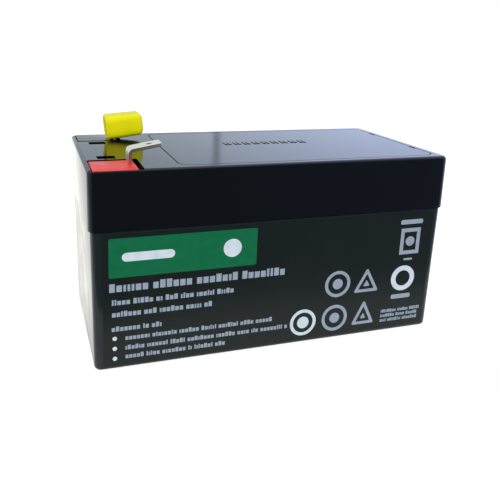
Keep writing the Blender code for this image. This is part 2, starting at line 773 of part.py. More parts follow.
def build_plates(parts, tools, number, centre, polarity, side, count, thickness, material):
    """The plates of one polarity in one cell, cast into one strap."""
    name = f"cell_{number}_{polarity}_plates"
    offsets = [(i - (count - 1) / 2) * PLATE_PITCH for i in range(count)]
    leaves = [
        sheet("plate", plate_outline(side), thickness, UPRIGHT_XZ, (0, offset, 0))
        for offset in offsets
    ]
    plates = place(name, gathered(name, leaves), material, parts)
    plates.location = (*centre, 0)
    half_length = offsets[-1] + thickness / 2 + STRAP_OVERHANG
    strap = block(
        "strap", (side * LUG_OFFSET, 0), (STRAP_WIDTH, 2 * half_length), STRAP_Z, STRAP_TOP
    )
    strap_tool = tool(f"{name}_strap", strap, tools)
    strap_tool.location = (*centre, 0)
    join(plates, strap_tool)
    return plates


def post_profile():
    """Half of the post's section: a stout foot on the strap, and a thin tip through the lid."""
    tip = BLADE_FOOT_Z + BLADE_THICKNESS
    shoulder = BOSS_Z - CLEARANCE
    return [
        (0, tip),
        (POST_TIP_RADIUS, tip),
        (POST_TIP_RADIUS, shoulder),
        (POST_RADIUS, shoulder - POST_RADIUS + POST_TIP_RADIUS),
        (POST_RADIUS, STRAP_Z + STRAP_THICKNESS / 2),
        (0, STRAP_Z + STRAP_THICKNESS / 2),
    ]


def add_post(plates, tools, polarity, side):
    post = tool(f"{polarity}_post", turned("post", post_profile()), tools)
    post.location = (LEFT + POST_X, terminal_y(side), 0)
    spin(post)
    join(plates, post)


def build_mats(parts, number, centre):
    """Each positive plate is wrapped in a glass mat that is folded under it in a U."""
    outer = MAT_BEND
    inner = MAT_BEND - MAT_THICKNESS
    bend_z = PLATE_Z
    top = PLATE_TOP + MAT_OVERHANG
    outline = (
        [(-outer, top)]
        + arc((0, bend_z), outer, -math.pi, 0, 2 * CORNER_STEPS)
        + [(outer, top), (inner, top)]
        + arc((0, bend_z), inner, 0, -math.pi, 2 * CORNER_STEPS)
        + [(-inner, top)]
    )
    width = CELL_LENGTH - 2 * CELL_LEAN - 2 * CLEARANCE
    mesh = sheet("mat", outline, width, UPRIGHT_YZ)
    for layer in range(POSITIVE_PLATES):
        offset = (layer - (POSITIVE_PLATES - 1) / 2) * PLATE_PITCH
        mat = place(f"cell_{number}_mat_{layer + 1}", mesh, glass_mat(), parts)
        mat.location = (centre[0], centre[1] + offset, 0)


def build_cells(parts, tools):
    brown = finish("positive_paste", (92, 58, 44), 0.90)
    grey = finish("negative_paste", (118, 122, 126), 0.80)
    for number, (x, y, side) in cell_places():
        positive = build_plates(
            parts, tools, number, (x, y), "positive", side, POSITIVE_PLATES, POSITIVE_THICKNESS, brown
        )
        negative = build_plates(
            parts, tools, number, (x, y), "negative", -side, NEGATIVE_PLATES, NEGATIVE_THICKNESS, grey
        )
        build_mats(parts, number, (x, y))
        if number == 1:
            add_post(positive, tools, "positive", -1)
        if number == 2 * COLUMNS:
            add_post(negative, tools, "negative", 1)


def bridge_spans():
    """Where each bridge lies, from strap to strap over a partition: along X inside a row, and
    along Y between the rows at the right end."""
    half_strap = STRAP_WIDTH / 2
    spans = []
    cells = [place for _, place in cell_places()]
    for (x_from, y_from, side_from), (x_to, y_to, side_to) in zip(cells, cells[1:]):
        strap_from = x_from - side_from * LUG_OFFSET
        strap_to = x_to + side_to * LUG_OFFSET
        if y_from == y_to:
            low, high = sorted((strap_from, strap_to))
            half = BRIDGE_WIDTH / 2
            spans.append(((low - half_strap, high + half_strap), (y_from - half, y_from + half)))
        else:
            near = CELL_Y - (POSITIVE_PLATES - 1) / 2 * PLATE_PITCH - POSITIVE_THICKNESS / 2
            x_span = (strap_from - half_strap, strap_from + half_strap)
            spans.append((x_span, (-near - BRIDGE_REACH, near + BRIDGE_REACH)))
    return spans


def build_bridges(parts, tools):
    """A lead bridge joins each cell to the next. Its two feet stand on their straps."""
    for number, (x_span, y_span) in enumerate(bridge_spans(), start=1):
        foot_z = STRAP_TOP + CLEARANCE
        along_x = x_span[1] - x_span[0] > y_span[1] - y_span[0]
        bar = span_block("bridge", x_span, y_span, foot_z, BRIDGE_TOP)
        bridge = place(f"cell_bridge_{number}_{number + 1}", bar, lead(), parts)
        foot = STRAP_WIDTH if along_x else BRIDGE_REACH
        gap_x = (x_span[0] + foot, x_span[1] - foot) if along_x else widened(x_span, OVERRUN)
        gap_y = widened(y_span, OVERRUN) if along_x else (y_span[0] + foot, y_span[1] - foot)
        arch = span_block("arch", gap_x, gap_y, foot_z - OVERRUN, BRIDGE_Z)
        cut(bridge, tool(f"bridge_arch_{number}", arch, tools))


def clear_scene():
    for obj in list(bpy.data.objects):
        bpy.data.objects.remove(obj, do_unlink=True)


def new_collection(name):
    collection = bpy.data.collections.new(name)
    bpy.context.scene.collection.children.link(collection)
    return collection


def main():
    clear_scene()
    parts = new_collection("sealed_battery")
    tools = new_collection("cutters")
    tools.hide_render = True
    parts.objects.link(bpy.data.objects.new("battery_frame", None))
    build_container(parts, tools)
    build_lid(parts, tools)
    build_vent_cover(parts, tools)
    build_valves(parts)
    build_seals(parts)
    red = finish("red_resin", (222, 88, 84), 0.35)
    black = finish("black_resin", (26, 27, 29), 0.35)
    build_resin(parts, tools, "positive", -1, red)
    build_resin(parts, tools, "negative", 1, black)
    build_blade(parts, tools, "positive", -1, POSITIVE_TILT)
    build_blade(parts, tools, "negative", 1, NEGATIVE_TILT)
    build_insulating_cap(parts, tools)
    build_label(parts)
    build_cells(parts, tools)
    build_bridges(parts, tools)


main()
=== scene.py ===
"""The looks of a small sealed battery: moulded case and lid, cast resin, tinned blades, a soft
yellow cap and a printed label, in a plain white studio. Lengths are in metres."""

import json
import math
from types import SimpleNamespace

import bmesh
import bpy
import numpy as np
from mathutils import Matrix, Vector

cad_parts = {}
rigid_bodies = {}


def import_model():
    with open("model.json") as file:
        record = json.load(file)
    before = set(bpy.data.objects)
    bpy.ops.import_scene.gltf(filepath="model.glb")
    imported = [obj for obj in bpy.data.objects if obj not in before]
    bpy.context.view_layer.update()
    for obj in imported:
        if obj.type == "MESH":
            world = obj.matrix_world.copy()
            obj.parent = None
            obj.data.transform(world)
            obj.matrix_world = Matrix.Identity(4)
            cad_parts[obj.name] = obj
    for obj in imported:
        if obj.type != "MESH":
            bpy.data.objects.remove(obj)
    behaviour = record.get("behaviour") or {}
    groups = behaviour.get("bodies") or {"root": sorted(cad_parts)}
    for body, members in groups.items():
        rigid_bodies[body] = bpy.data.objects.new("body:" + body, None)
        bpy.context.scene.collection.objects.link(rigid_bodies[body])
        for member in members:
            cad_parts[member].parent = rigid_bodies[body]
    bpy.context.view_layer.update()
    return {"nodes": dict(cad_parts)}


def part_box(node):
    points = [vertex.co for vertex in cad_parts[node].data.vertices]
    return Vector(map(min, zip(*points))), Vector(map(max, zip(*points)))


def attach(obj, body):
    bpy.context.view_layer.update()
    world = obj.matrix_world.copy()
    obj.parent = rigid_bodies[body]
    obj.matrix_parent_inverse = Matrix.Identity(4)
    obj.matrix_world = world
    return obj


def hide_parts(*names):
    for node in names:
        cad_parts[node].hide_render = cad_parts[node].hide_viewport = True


MM = 0.001

# Camera: where it looks, from which side, and the lens
IMAGE_SIZE = 500
CAMERA_TARGET = (-6.937 * MM, 0, 44.183 * MM)
CAMERA_AZIMUTH = math.radians(-18.834)
CAMERA_ELEVATION = math.radians(13.122)
CAMERA_ROLL = math.radians(1.889)
CAMERA_DISTANCE = 172.825 * MM
FOCAL_PIXELS = 611.038
CENTRE_PIXEL = (228.9, 167.6)
SENSOR_WIDTH = 36.0
CLIP_START = 10 * MM

# Soft edges that a mould or a press leaves
MOULD_EDGE = 0.12 * MM
JOINT_EDGE = 0.04 * MM
PRESSED_EDGE = 0.08 * MM
RESIN_EDGE = 0.15 * MM
EDGE_SEGMENTS = 2
SHARP_ANGLE = math.radians(32)
FLAT_ANGLE = math.radians(0.6)
WELD_DISTANCE = 0.001 * MM

# Points round a circle and round a corner
ROUND_POINTS = 48
CORNER_POINTS = 4

# The strip at the film's foot and head where its corners are, and how far print reaches below and
# above its face
LABEL_EDGE = 0.3 * MM
INK_SUNK = 0.01 * MM
INK_RISE = 0.05 * MM
OVERPRINT_RISE = 0.08 * MM

# Print on the label, in millimetres from the film's lower left corner. Spans are left, right, low and
# high, discs are u, v and radius, rings have an inner radius too, and triangles are middle, low, high
# and half width
PANEL_CORNER = 0.5
ROUND_CORNER = 0.4
GREEN_PANEL = (1.4, 38.6, 23.1, 33.0)
PANEL_BAR = (4.5, 17.4, 27.1, 29.3)
PANEL_DISC = (32.1, 28.2, 2.4)
WHITE_RING = (83.0, 14.7, 3.75, 2.3)
LOW_PALE_RING = (52.95, 4.95, 3.8, 2.9)
PALE_RING_DOT = 1.7
GREY_RINGS = ((62.6, 15.05, 3.8, 2.9), (62.4, 5.1, 3.85, 2.95))
RING_DOT = 1.5
TRIANGLES = ((71.5, 11.8, 18.9, 3.9), (71.3, 2.1, 9.3, 3.6))
TRIANGLE_LINE = 0.85
TALL_FRAME = (81.0, 87.2, 21.8, 29.4)
FRAME_LINE = 1.1
FRAME_DOT = (84.1, 25.6, 1.4)
PLAIN_BARS = ((80.6, 87.6, 30.6, 31.9), (82.6, 85.4, 20.0, 20.6), (79.8, 86.0, 8.6, 9.9))
BULLETS = ((2.7, 7.3, 0.55), (2.7, 4.6, 0.55), (2.7, 1.9, 0.55))

# Rows of print as start, end, base and height, the fewest and most blocks in a group, and the sizes
# of blocks and gaps as shares of the height
GREY_ROWS = (
    (1.5, 47.6, 19.5, 2.15),
    (2.1, 33.8, 16.1, 1.4),
    (2.1, 28.0, 13.0, 1.4),
    (2.0, 14.4, 9.2, 1.3),
    (5.3, 44.0, 6.6, 1.2),
    (5.3, 48.6, 4.0, 1.2),
    (5.3, 31.8, 1.6, 1.2),
    (77.0, 89.6, 4.7, 0.95),
    (77.0, 89.6, 3.3, 0.95),
    (77.0, 89.6, 1.9, 0.95),
)
GROUP_SIZES = (2, 8)
WIDE_BLOCK = 0.62
NARROW_BLOCK = 0.30
LOW_BLOCK = 0.78
BLOCK_GAP = 0.16
GROUP_GAP = 0.42
WIDE_SHARE = 0.72
TALL_SHARE = 0.35

# Raised bars on the vent cover. Their sizes and pitches are in millimetres
MARKS_INSET = 18.6 * MM
MARKS_Y = 1.4 * MM
MARK_RISE = 0.15 * MM
MARK_PAIRS = 9
PAIR_PITCH = 2.9
BAR_PITCH = 1.1
BAR_WIDTH = 0.7
BAR_LENGTH = 3.4

# The resin's rim round a blade's neck
NECK_THICKNESS = 0.8 * MM
NECK_WIDTH = 3.4 * MM
LEG_REACH = 2.4 * MM
FILLET_RADIUS = 0.45 * MM
FILLET_SUNK = 0.05 * MM
FILLET_STEPS = 8

# The yellow cap: its tilt, its walls, and the shape of its outside and of its bore
CAP_TILT = math.radians(6)
CAP_WALL = 1.1 * MM
CAP_END_WALL = 0.7 * MM
CAP_LIP = 0.3 * MM
CAP_SAG = 0.25 * MM
CAP_TAPER = 0.07
CAP_SWELL = 0.02
CAP_ROUND = 1.3 * MM
CAP_BULGE = 0.25 * MM
CAP_POWER = 4.2
CAP_KNEE = 0.74
BORE_ROUND = CAP_ROUND - CAP_WALL / 2
BORE_BULGE = CAP_BULGE - CAP_END_WALL / 4
BORE_POWER = 7.0
BORE_KNEE = 1.05

# The slit under the cap, and how finely the cap is divided
SLIT_HALF_WIDTH = 2.4 * MM
SLIT_SHARE = 0.32
SLIT_POWER = 5.0
LIP_STATIONS = 5
SLIT_STATIONS = 9
SIDE_STATIONS = 12
END_STATIONS = 7
SECTION_POINTS = 73
POLE_SHARE = 1e-5

# The room that gloss sees: two pale panels behind the battery and the gap between them, placed by
# the X and Y parts of a ray's direction
LEFT_PANEL = (0.74, 0.85, 0.94, 1)
RIGHT_PANEL = (1.05, 1.23, 1.69, 1)
PANEL_BLEND = (0.18, 0.52)
PANEL_GAP_SLOPE = 0.317
PANEL_GAP_WIDTH = 0.012
PANEL_GAP_LEVEL = 0.50
ROOM_DEPTH = (-0.75, 0.10)
ROOM_LEVELS = (0.10, 1.0)
ROOM_SOFT_LIGHT = 0.55
WHITE = (1, 1, 1, 1)

# The floor, and how the camera and gloss see it
FLOOR_RADIUS = 0.42
FLOOR_FRONT = -48 * MM
FLOOR_POINTS = 96
FLOOR_GREY = (0.86, 0.86, 0.86, 1)
FLOOR_ROUGHNESS = 0.9
FLOOR_GLOW = 0.5
FLOOR_SHEEN = 0.77
FLOOR_TINT = (1.0, 0.985, 0.91, 1)
SHEEN_FADE = (-30 * MM, 10 * MM)

# Lamps as name, place, size, power, colour, and whether gloss sees them
LAMPS = (
    ("Key", (-0.38, -0.62, 0.45), 0.50, 4.6, (1.0, 0.99, 0.97), False),
    ("Fill", (0.55, -0.50, 0.35), 0.45, 2.0, (0.90, 0.95, 1.0), False),
    ("Top", (0.05, 0.15, 0.80), 0.60, 0.6, (1.0, 1.0, 1.0), True),
)
LAMP_TARGET = (0, 0, 30 * MM)

# Colours as screen levels
CASE_COLOUR = (24, 33, 35)
LID_COLOUR = (9, 13, 18)
FILM_COLOUR = (18, 26, 25)
GREEN_INK = (0, 97, 61)
GREY_INK = (136, 149, 165)
PALE_INK = (190, 202, 212)
RED_RESIN = (220, 58, 54)
BLACK_RESIN = (12, 15, 19)
BLADE_COLOUR = (236, 229, 206)
BRASS_COLOUR = (176, 146, 84)
CAP_COLOUR = (222, 216, 2)
RUBBER_COLOUR = (28, 28, 29)
LEAD_COLOUR = (128, 132, 138)
POSITIVE_PASTE = (88, 54, 42)
NEGATIVE_PASTE = (116, 120, 124)
MAT_COLOUR = (234, 233, 227)

# Levels between which a mask opens: a normal's lean, the breakup of worn edges, and unevenness
LEAN_LEVELS = (0.995, 0.80)
BREAKUP_LEVELS = (0.40, 0.62)
UNEVEN_LEVELS = (0.3, 0.7)

# Sockets of the Mix and Mix Shader nodes, by number because they share their names
MIX_FACTOR = 0
MIX_FLOATS = (2, 3)
MIX_FLOAT_RESULT = 0
MIX_COLOURS = (6, 7)
MIX_COLOUR_RESULT = 2
MIX_LIGHTS = (1, 2)


# Shader helpers


def linear(colour):
    """Screen levels 0 to 255 as linear values, by the sRGB curve."""
    share = np.asarray(colour, float) / 255
    low = share / 12.92
    high = ((share + 0.055) / 1.055) ** 2.4
    return tuple(float(value) for value in np.where(share <= 0.04045, low, high))


def shade(colour, factor):
    """A colour made lighter or darker, kept within the screen's levels."""
    return tuple(min(255, level * factor) for level in colour)


def node(tree, kind, **values):
    """A new node, with input values or settings given by name."""
    made = tree.nodes.new(kind)
    for name, value in values.items():
        if name in made.inputs:
            made.inputs[name].default_value = value
        else:
            setattr(made, name, value)
    return made


def link(tree, source, target):
    """Joins an output socket to an input socket."""
    tree.links.new(source, target)


def math_node(tree, operation, *values):
    """The result of a Math node. Each value is a number or another node's socket."""
    made = node(tree, "ShaderNodeMath", operation=operation)
    for place, value in enumerate(values):
        if isinstance(value, bpy.types.NodeSocket):
            link(tree, value, made.inputs[place])
        else:
            made.inputs[place].default_value = value
    return made.outputs["Value"]


def ranged(tree, value, source, target=(0.0, 1.0), curve="LINEAR"):
    """A value carried from one range to another and kept inside it."""
    made = node(tree, "ShaderNodeMapRange", clamp=True, interpolation_type=curve)
    for label, level in zip(("From Min", "From Max", "To Min", "To Max"), (*source, *target)):
        made.inputs[label].default_value = level
    link(tree, value, made.inputs["Value"])
    return made.outputs["Result"]


def mixed_colour(tree, factor, one, other):
    """A colour between two, by a factor socket."""
    made = node(tree, "ShaderNodeMix", data_type="RGBA")
    for socket, colour in zip(MIX_COLOURS, (one, other)):
        made.inputs[socket].default_value = colour
    link(tree, factor, made.inputs[MIX_FACTOR])
    return made.outputs[MIX_COLOUR_RESULT]


def mirrored_rays(tree, rays):
    """1 for the rays that gloss, metal and glass send out, and 0 for the others."""
    return math_node(
        tree, "MAXIMUM", rays.outputs["Is Glossy Ray"], rays.outputs["Is Transmission Ray"]
    )


# Effects that several materials share, as node groups


def new_group(name, inputs, outputs):
    """An empty shader node group with float inputs, as (name, default), and float outputs."""
    group = bpy.data.node_groups.new(name, "ShaderNodeTree")
    for label, default in inputs:
        socket = group.interface.new_socket(label, in_out="INPUT", socket_type="NodeSocketFloat")
        socket.default_value = default
    for label in outputs:
        group.interface.new_socket(label, in_out="OUTPUT", socket_type="NodeSocketFloat")
    return group, group.nodes.new("NodeGroupInput"), group.nodes.new("NodeGroupOutput")


def group_node(tree, group, **values):
    """A placed node group, with its own values."""
    made = tree.nodes.new("ShaderNodeGroup")
    made.node_tree = group
    for name, value in values.items():
        made.inputs[name.replace("_", " ")].default_value = value
    return made


def grain_group():
    """Fine moulded or spark-eroded grain: two noises on Object coordinates mixed into a height, and
    the slower one alone as an unevenness."""
    group, given, out = new_group(
        "Moulded grain",
        [("Grain Scale", 4000.0), ("Wave Scale", 150.0), ("Wave Share", 0.5)],
        ["Height", "Unevenness"],
    )
    place = node(group, "ShaderNodeTexCoord")
    grain = node(group, "ShaderNodeTexNoise", Detail=3.0, Roughness=0.6)
    wave = node(group, "ShaderNodeTexNoise", Detail=2.0, Roughness=0.5)
    mixed = node(group, "ShaderNodeMix", data_type="FLOAT")
    link(group, place.outputs["Object"], grain.inputs["Vector"])
    link(group, place.outputs["Object"], wave.inputs["Vector"])
    link(group, given.outputs["Grain Scale"], grain.inputs["Scale"])
    link(group, given.outputs["Wave Scale"], wave.inputs["Scale"])
    link(group, given.outputs["Wave Share"], mixed.inputs[MIX_FACTOR])
    for socket, noise in zip(MIX_FLOATS, (grain, wave)):
        link(group, noise.outputs["Fac"], mixed.inputs[socket])
    link(group, mixed.outputs[MIX_FLOAT_RESULT], out.inputs["Height"])
    link(group, wave.outputs["Fac"], out.inputs["Unevenness"])
    return group


def edge_group():
    """Rubbed edges: how far a bevelled normal leans from the true one, broken up by noise."""
    group, given, out = new_group(
        "Rubbed edges", [("Radius", 0.0003), ("Breakup Scale", 900.0), ("Amount", 0.5)], ["Mask"]
    )
    soft = node(group, "ShaderNodeBevel", samples=6)
    true = node(group, "ShaderNodeNewGeometry")
    dot = node(group, "ShaderNodeVectorMath", operation="DOT_PRODUCT")
    place = node(group, "ShaderNodeTexCoord")
    noise = node(group, "ShaderNodeTexNoise", Detail=4.0)
    link(group, given.outputs["Radius"], soft.inputs["Radius"])
    link(group, soft.outputs["Normal"], dot.inputs[0])
    link(group, true.outputs["Normal"], dot.inputs[1])
    link(group, place.outputs["Object"], noise.inputs["Vector"])
    link(group, given.outputs["Breakup Scale"], noise.inputs["Scale"])
    lean = ranged(group, dot.outputs["Value"], LEAN_LEVELS)
    broken = ranged(group, noise.outputs["Fac"], BREAKUP_LEVELS)
    worn = math_node(group, "MULTIPLY", lean, broken)
    mask = math_node(group, "MULTIPLY", worn, given.outputs["Amount"])
    link(group, mask, out.inputs["Mask"])
    return group


def streak_group():
    """Fine lines along X and Z, as bent strip has: noise that changes quickly along Y alone."""
    group, given, out = new_group(
        "Drawn streaks", [("Fineness", 9000.0), ("Stretch", 0.03)], ["Height"]
    )
    place = node(group, "ShaderNodeTexCoord")
    squeeze = node(group, "ShaderNodeCombineXYZ", Y=1.0)
    stretched = node(group, "ShaderNodeVectorMath", operation="MULTIPLY")
    noise = node(group, "ShaderNodeTexNoise", Detail=3.0, Roughness=0.65)
    link(group, given.outputs["Stretch"], squeeze.inputs["X"])
    link(group, given.outputs["Stretch"], squeeze.inputs["Z"])
    link(group, place.outputs["Object"], stretched.inputs[0])
    link(group, squeeze.outputs["Vector"], stretched.inputs[1])
    link(group, stretched.outputs["Vector"], noise.inputs["Vector"])
    link(group, given.outputs["Fineness"], noise.inputs["Scale"])
    link(group, noise.outputs["Fac"], out.inputs["Height"])
    return group


# Materials


def blank(name, roughness, metallic=0.0, ior=1.45, specular=0.5):
    """A material with one Principled shader whose constant values sit on its own sockets."""
    made = bpy.data.materials.new(name)
    made.use_nodes = True
    tree = made.node_tree
    shader = tree.nodes["Principled BSDF"]
    shader.inputs["Roughness"].default_value = roughness
    shader.inputs["Metallic"].default_value = metallic
    shader.inputs["IOR"].default_value = ior
    shader.inputs["Specular IOR Level"].default_value = specular
    return made, tree, shader


def two_tone(tree, shader, factor, colour, other):
    """Base colour between two screen colours, by a factor socket."""
    mixed = mixed_colour(tree, factor, (*linear(colour), 1), (*linear(other), 1))
    link(tree, mixed, shader.inputs["Base Color"])


def uneven_gloss(tree, shader, noise, low, high):
    """Roughness between two values, by a noise socket."""
    level = ranged(tree, noise, UNEVEN_LEVELS, (low, high))
    link(tree, level, shader.inputs["Roughness"])


def bump(tree, shader, height, strength, distance):
    """A height socket through a Bump node into Normal. The distance is the height of a full step."""
    made = node(tree, "ShaderNodeBump", Strength=strength, Distance=distance)
    link(tree, height, made.inputs["Height"])
    link(tree, made.outputs["Normal"], shader.inputs["Normal"])


def plastic(name, colour, effects, worn, rough, ior, grain_scale, grain_depth):
    """A moulded plastic: lighter rubbed edges, a fine grain and an uneven gloss."""
    made, tree, shader = blank(name, rough[0], ior=ior)
    surface = group_node(
        tree, effects.grain, Grain_Scale=grain_scale, Wave_Scale=140.0, Wave_Share=0.35
    )
    edges = group_node(tree, effects.rubbed, Radius=0.25 * MM, Amount=0.55)
    two_tone(tree, shader, edges.outputs["Mask"], colour, shade(colour, worn))
    uneven_gloss(tree, shader, surface.outputs["Unevenness"], *rough)
    bump(tree, shader, surface.outputs["Height"], 0.5, grain_depth)
    return made


def resin(name, colour, effects, rough, ior, wave_depth):
    """Cast epoxy: a smooth skin that is a little uneven, and slightly deeper in colour in places."""
    made, tree, shader = blank(name, rough[0], ior=ior)
    surface = group_node(tree, effects.grain, Grain_Scale=900.0, Wave_Scale=260.0, Wave_Share=0.85)
    two_tone(tree, shader, surface.outputs["Unevenness"], shade(colour, 0.90), shade(colour, 1.08))
    uneven_gloss(tree, shader, surface.outputs["Unevenness"], *rough)
    bump(tree, shader, surface.outputs["Height"], 0.5, wave_depth)
    return made


def tinned(name, colour, under, effects):
    """Tinned brass: bright rolled strip, with the brass just showing where its edges are rubbed."""
    made, tree, shader = blank(name, 0.30, metallic=1.0)
    lines = group_node(tree, effects.streaks, Fineness=9000.0, Stretch=0.03)
    edges = group_node(tree, effects.rubbed, Radius=0.12 * MM, Amount=0.30)
    two_tone(tree, shader, edges.outputs["Mask"], colour, under)
    uneven_gloss(tree, shader, lines.outputs["Height"], 0.24, 0.40)
    bump(tree, shader, lines.outputs["Height"], 0.35, 0.004 * MM)
    return made


def vinyl(name, colour, effects):
    """Soft dipped vinyl: slightly translucent, with a faint orange-peel skin."""
    made, tree, shader = blank(name, 0.42, ior=1.35)
    shader.inputs["Subsurface Weight"].default_value = 0.25
    shader.inputs["Subsurface Radius"].default_value = (1.0, 0.9, 0.2)
    shader.inputs["Subsurface Scale"].default_value = 0.6 * MM
    surface = group_node(tree, effects.grain, Grain_Scale=1500.0, Wave_Scale=300.0, Wave_Share=0.6)
    two_tone(tree, shader, surface.outputs["Unevenness"], shade(colour, 0.96), shade(colour, 1.03))
    uneven_gloss(tree, shader, surface.outputs["Unevenness"], 0.36, 0.50)
    bump(tree, shader, surface.outputs["Height"], 0.4, 0.03 * MM)
    return made


def ink(name, colour, effects):
    """Screen-printed ink: flat colour with a slight mottle."""
    made, tree, shader = blank(name, 0.38, ior=1.40)
    surface = group_node(tree, effects.grain, Grain_Scale=5000.0, Wave_Scale=500.0, Wave_Share=0.4)
    two_tone(tree, shader, surface.outputs["Unevenness"], shade(colour, 0.93), shade(colour, 1.06))
    uneven_gloss(tree, shader, surface.outputs["Unevenness"], 0.33, 0.46)
    bump(tree, shader, surface.outputs["Height"], 0.2, 0.008 * MM)
    return made


def film(name, colour, effects):
    """The label's plastic film: smooth, with a faint waviness from the case under it."""
    made, tree, shader = blank(name, 0.34, ior=1.38)
    surface = group_node(tree, effects.grain, Grain_Scale=2500.0, Wave_Scale=90.0, Wave_Share=0.8)
    # The film is lighter along its edges, through the shared edge mask.
    edges = group_node(tree, effects.rubbed, Radius=0.10 * MM, Amount=0.6)
    two_tone(tree, shader, edges.outputs["Mask"], colour, shade(colour, 2.4))
    uneven_gloss(tree, shader, surface.outputs["Unevenness"], 0.30, 0.40)
    bump(tree, shader, surface.outputs["Height"], 0.3, 0.03 * MM)
    return made


def rough_solid(name, colour, effects, mottle, scale, depth, roughness, metallic=0.0):
    """A dull inner surface, such as paste, rubber or cast lead, mottled with another shade."""
    made, tree, shader = blank(name, roughness, metallic=metallic)
    surface = group_node(
        tree, effects.grain, Grain_Scale=scale, Wave_Scale=scale / 6, Wave_Share=0.5
    )
    two_tone(tree, shader, surface.outputs["Height"], colour, shade(colour, mottle))
    uneven_gloss(
        tree, shader, surface.outputs["Unevenness"], roughness - 0.08, roughness + 0.05
    )
    bump(tree, shader, surface.outputs["Height"], 0.8, depth)
    return made


def glass_fibre(name, colour, effects):
    """Absorbent glass mat: a felt of fine fibres, pale and quite matt."""
    made, tree, shader = blank(name, 0.95)
    shader.inputs["Sheen Weight"].default_value = 0.3
    shader.inputs["Sheen Roughness"].default_value = 0.6
    lines = group_node(tree, effects.streaks, Fineness=4000.0, Stretch=0.15)
    surface = group_node(tree, effects.grain, Grain_Scale=3500.0, Wave_Scale=400.0, Wave_Share=0.4)
    two_tone(tree, shader, surface.outputs["Unevenness"], shade(colour, 0.93), colour)
    felt = math_node(tree, "ADD", lines.outputs["Height"], surface.outputs["Height"])
    bump(tree, shader, felt, 0.7, 0.08 * MM)
    return made


def all_materials():
    """Every finish of the battery, by the name that the pieces ask for."""
    effects = SimpleNamespace(grain=grain_group(), rubbed=edge_group(), streaks=streak_group())
    return {
        "case": plastic(
            "Container plastic", CASE_COLOUR, effects, worn=2.0, rough=(0.12, 0.20), ior=1.40,
            grain_scale=5200.0, grain_depth=0.006 * MM,
        ),
        "lid": plastic(
            "Lid plastic", LID_COLOUR, effects, worn=2.6, rough=(0.05, 0.11), ior=1.38,
            grain_scale=1400.0, grain_depth=0.005 * MM,
        ),
        "red_resin": resin(
            "Red cast resin", RED_RESIN, effects, rough=(0.28, 0.46), ior=1.30,
            wave_depth=0.056 * MM,
        ),
        "black_resin": resin(
            "Black cast resin", BLACK_RESIN, effects, rough=(0.06, 0.13), ior=1.38,
            wave_depth=0.012 * MM,
        ),
        "blade": tinned("Tinned blade", BLADE_COLOUR, BRASS_COLOUR, effects),
        "cap": vinyl("Yellow vinyl", CAP_COLOUR, effects),
        "film": film("Label film", FILM_COLOUR, effects),
        "green_ink": ink("Green ink", GREEN_INK, effects),
        "grey_ink": ink("Grey ink", GREY_INK, effects),
        "pale_ink": ink("Pale ink", PALE_INK, effects),
        "rubber": rough_solid(
            "Seal rubber", RUBBER_COLOUR, effects, mottle=1.5, scale=3000.0, depth=0.03 * MM,
            roughness=0.72,
        ),
        "lead": rough_solid(
            "Cast lead", LEAD_COLOUR, effects, mottle=0.7, scale=1800.0, depth=0.06 * MM,
            roughness=0.50, metallic=0.9,
        ),
        "positive_paste": rough_solid(
            "Brown plate paste", POSITIVE_PASTE, effects, mottle=1.35, scale=2600.0,
            depth=0.08 * MM, roughness=0.88,
        ),
        "negative_paste": rough_solid(
            "Grey plate paste", NEGATIVE_PASTE, effects, mottle=0.75, scale=2600.0,
            depth=0.08 * MM, roughness=0.80, metallic=0.3,
        ),
        "mat": glass_fibre("Glass mat", MAT_COLOUR, effects),
    }


# How a piece is made


def vertex_array(name):
    """A frame node's points as an array."""
    vertices = bpy.data.objects[name].data.vertices
    points = np.empty(3 * len(vertices))
    vertices.foreach_get("co", points)
    return points.reshape(-1, 3)


def mark_sharp(bm):
    """Smooth faces, with every edge that turns by more than the sharp angle kept sharp."""
    for face in bm.faces:
        face.smooth = True
    for edge in bm.edges:
        edge.smooth = len(edge.link_faces) == 2 and edge.calc_face_angle() < SHARP_ANGLE


def close_up(mesh):
    """Joins points that meet at seams and poles, turns faces outward and marks sharp edges."""
    bm = bmesh.new()
    bm.from_mesh(mesh)
    bmesh.ops.remove_doubles(bm, verts=bm.verts, dist=WELD_DISTANCE)
    bmesh.ops.recalc_face_normals(bm, faces=bm.faces)
    mark_sharp(bm)
    bm.to_mesh(mesh)
    bm.free()


def finished(frame, name, width, material):
    """A CAD node's form with the soft edges of the real piece: a copy is merged, its flat faces are
    joined, and every sharp edge gets a small round. It stands in for the node."""
    bm = bmesh.new()
    bm.from_mesh(frame["nodes"][name].data)
    bmesh.ops.remove_doubles(bm, verts=bm.verts, dist=WELD_DISTANCE)
    bmesh.ops.dissolve_limit(bm, angle_limit=FLAT_ANGLE, verts=bm.verts, edges=bm.edges)
    mark_sharp(bm)
    mesh = bpy.data.meshes.new(f"{name}_finished")
    bm.to_mesh(mesh)
    bm.free()
    mesh.materials.append(material)
    piece = bpy.data.objects.new(f"{name}_finished", mesh)
    bpy.context.scene.collection.objects.link(piece)
    soft = piece.modifiers.new("Soft edges", "BEVEL")
    soft.width = width
    soft.segments = EDGE_SEGMENTS
    soft.limit_method = "ANGLE"
    soft.angle_limit = SHARP_ANGLE
    soft.harden_normals = True
    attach(piece, "root")
    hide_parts(name)


def surface_piece(name, points, faces, material, smooth=False):
    """A mesh piece from an array of points and a list of faces, riding on the battery."""
    mesh = bpy.data.meshes.new(name)
    mesh.from_pydata(points.tolist(), [], faces)
    mesh.update()
    mesh.polygons.foreach_set("use_smooth", np.full(len(mesh.polygons), smooth))
    mesh.materials.append(material)
    piece = bpy.data.objects.new(name, mesh)
    bpy.context.scene.collection.objects.link(piece)
    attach(piece, "root")
    return piece


